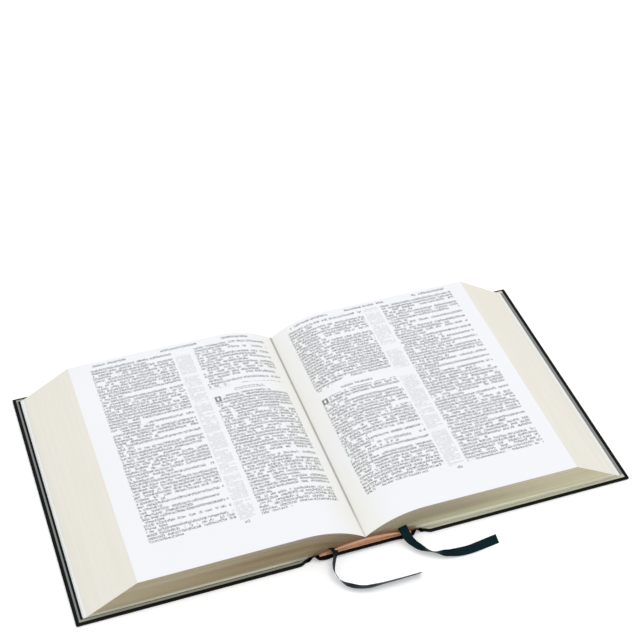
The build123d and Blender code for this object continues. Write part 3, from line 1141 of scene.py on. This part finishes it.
# Routes are in mm, on from where each ribbon leaves the leaves. Leans give the way the ribbon's
# width points at a share of its length.
LEFT_ROUTE = [
    (-40.5, -178.8, 12.4),
    (-39.5, -184.5, 11),
    (-42.5, -191, 7.4),
    (-47, -199.5, 5.9),
    (-50, -210, 6.8),
    (-46.5, -221.5, 4.5),
    (-37.5, -232, 3.6),
    (-22, -239.5, 3.7),
    (-6, -240.5, 4.4),
    (12, -241, 4.6),
    (33, -241, 4.7),
    (47.6, -240.6, 4.8),
]
LEFT_LEANS = [
    (0, (-0.94, 0, 0.33)),
    (0.09, (-0.40, -0.15, 0.90)),
    (0.25, (-0.30, -0.15, 0.94)),
    (0.42, (-0.58, -0.67, 0.46)),
    (0.55, (-0.10, -0.82, 0.56)),
    (0.70, (0, -0.70, 0.71)),
    (1, (0, -0.64, 0.77)),
]
RIGHT_ROUTE = [
    (46.5, -178.8, 16.8),
    (47.6, -184.5, 14.6),
    (49.5, -190, 9),
    (54, -199, 6.2),
    (62.5, -210.5, 5),
    (75, -219.5, 4.7),
    (92, -224.5, 3.2),
    (112, -226.5, 2.7),
    (132, -224.5, 3.4),
    (152.5, -222, 3.8),
]
RIGHT_LEANS = [
    (0, (0.97, 0, 0.25)),
    (0.10, (0.95, 0.25, 0.10)),
    (0.22, (0.85, 0.50, -0.16)),
    (0.38, (0.33, 0.62, -0.71)),
    (0.50, (0.05, 0.98, -0.10)),
    (0.65, (0, 0.97, 0.24)),
    (1, (-0.03, 0.82, 0.57)),
]


def make_ribbons():
    make_ribbon("left_ribbon", "left_ribbon_tail", LEFT_ROUTE, LEFT_LEANS)
    make_ribbon("right_ribbon", "right_ribbon_tail", RIGHT_ROUTE, RIGHT_LEANS)
    make_ribbon_run("left_ribbon_inner", "left_ribbon_run", "front_gutter_2", -1, 1.98, 36.5 * MM)
    make_ribbon_run("right_ribbon_inner", "right_ribbon_run", "back_gutter_3", 1, 2.6, 41 * MM)


# ---- camera, floor and light ----
CAMERA_PLACE = Vector((-0.4560, -1.2078, 1.3962))
CAMERA_AIM = Vector((0.0815, 0.2093, 0.0))
CAMERA_ROLL = radians(1.8)
CAMERA_LENS = 84.04
FLOOR_HALF = 60.0
FLOOR_DROP = 0.2 * MM


def make_camera():
    camera = bpy.data.cameras.new("camera")
    camera.sensor_width = 36.0
    camera.lens = CAMERA_LENS
    holder = put_in_scene("camera", camera)
    turn = (CAMERA_AIM - CAMERA_PLACE).to_track_quat("-Z", "Y").to_matrix().to_4x4()
    roll = Matrix.Rotation(CAMERA_ROLL, 4, "Z")
    holder.matrix_world = Matrix.Translation(CAMERA_PLACE) @ turn @ roll
    bpy.context.scene.camera = holder


def make_floor():
    """A pale floor that glows a little, so that the object's shadow stays faint."""
    shade = Shade("studio_floor", (0.93, 0.93, 0.93), 0.9)
    shade.set("Emission Color", (1.0, 1.0, 1.0, 1.0))
    shade.set("Emission Strength", 0.27)
    mesh = bpy.data.meshes.new("studio_floor")
    signs = ((-1, -1), (1, -1), (1, 1), (-1, 1))
    corners = [(x * FLOOR_HALF, y * FLOOR_HALF, -FLOOR_DROP) for x, y in signs]
    mesh.from_pydata(corners, [], [(0, 1, 2, 3)])
    mesh.materials.append(shade.material)
    put_in_scene("studio_floor", mesh)


def make_light(name, place, size, watts, colour):
    light = bpy.data.lights.new(name, "AREA")
    light.shape = "DISK"
    light.size = size
    light.energy = watts
    light.color = colour
    holder = put_in_scene(name, light)
    holder.location = place
    holder.rotation_euler = (-Vector(place)).to_track_quat("-Z", "Y").to_euler()


def make_lights():
    world = bpy.data.worlds.new("studio")
    world.use_nodes = True
    background = world.node_tree.nodes["Background"]
    background.inputs["Color"].default_value = (0.98, 0.99, 1.0, 1.0)
    background.inputs["Strength"].default_value = 0.92
    bpy.context.scene.world = world
    make_light("overhead", (0.9, -0.4, 2.6), 1.6, 11.0, (1.0, 0.99, 0.97))
    make_light("left_window", (-2.0, 0.9, 1.7), 1.6, 4.0, (0.97, 0.98, 1.0))
    bpy.context.scene.view_settings.view_transform = "Standard"


# ---- everything ----
make_camera()
make_ribbons()
for side_name, side_sign in SIDES.items():
    make_board_core(side_name, side_sign)
    make_cover(side_name, side_sign)
    make_pastedown(side_name, side_sign)
    make_flyleaves(side_name, side_sign)
    for section in range(SECTION_COUNT):
        make_section(side_name, side_sign, section)
        make_fore_edge(side_name, side_sign, section)
    make_spine_leather(side_name, side_sign)
    make_backings(side_name, side_sign)
    make_end_band(side_name, side_sign, "headband", 1)
    make_end_band(side_name, side_sign, "tailband", -1)
make_floor()
make_lights()
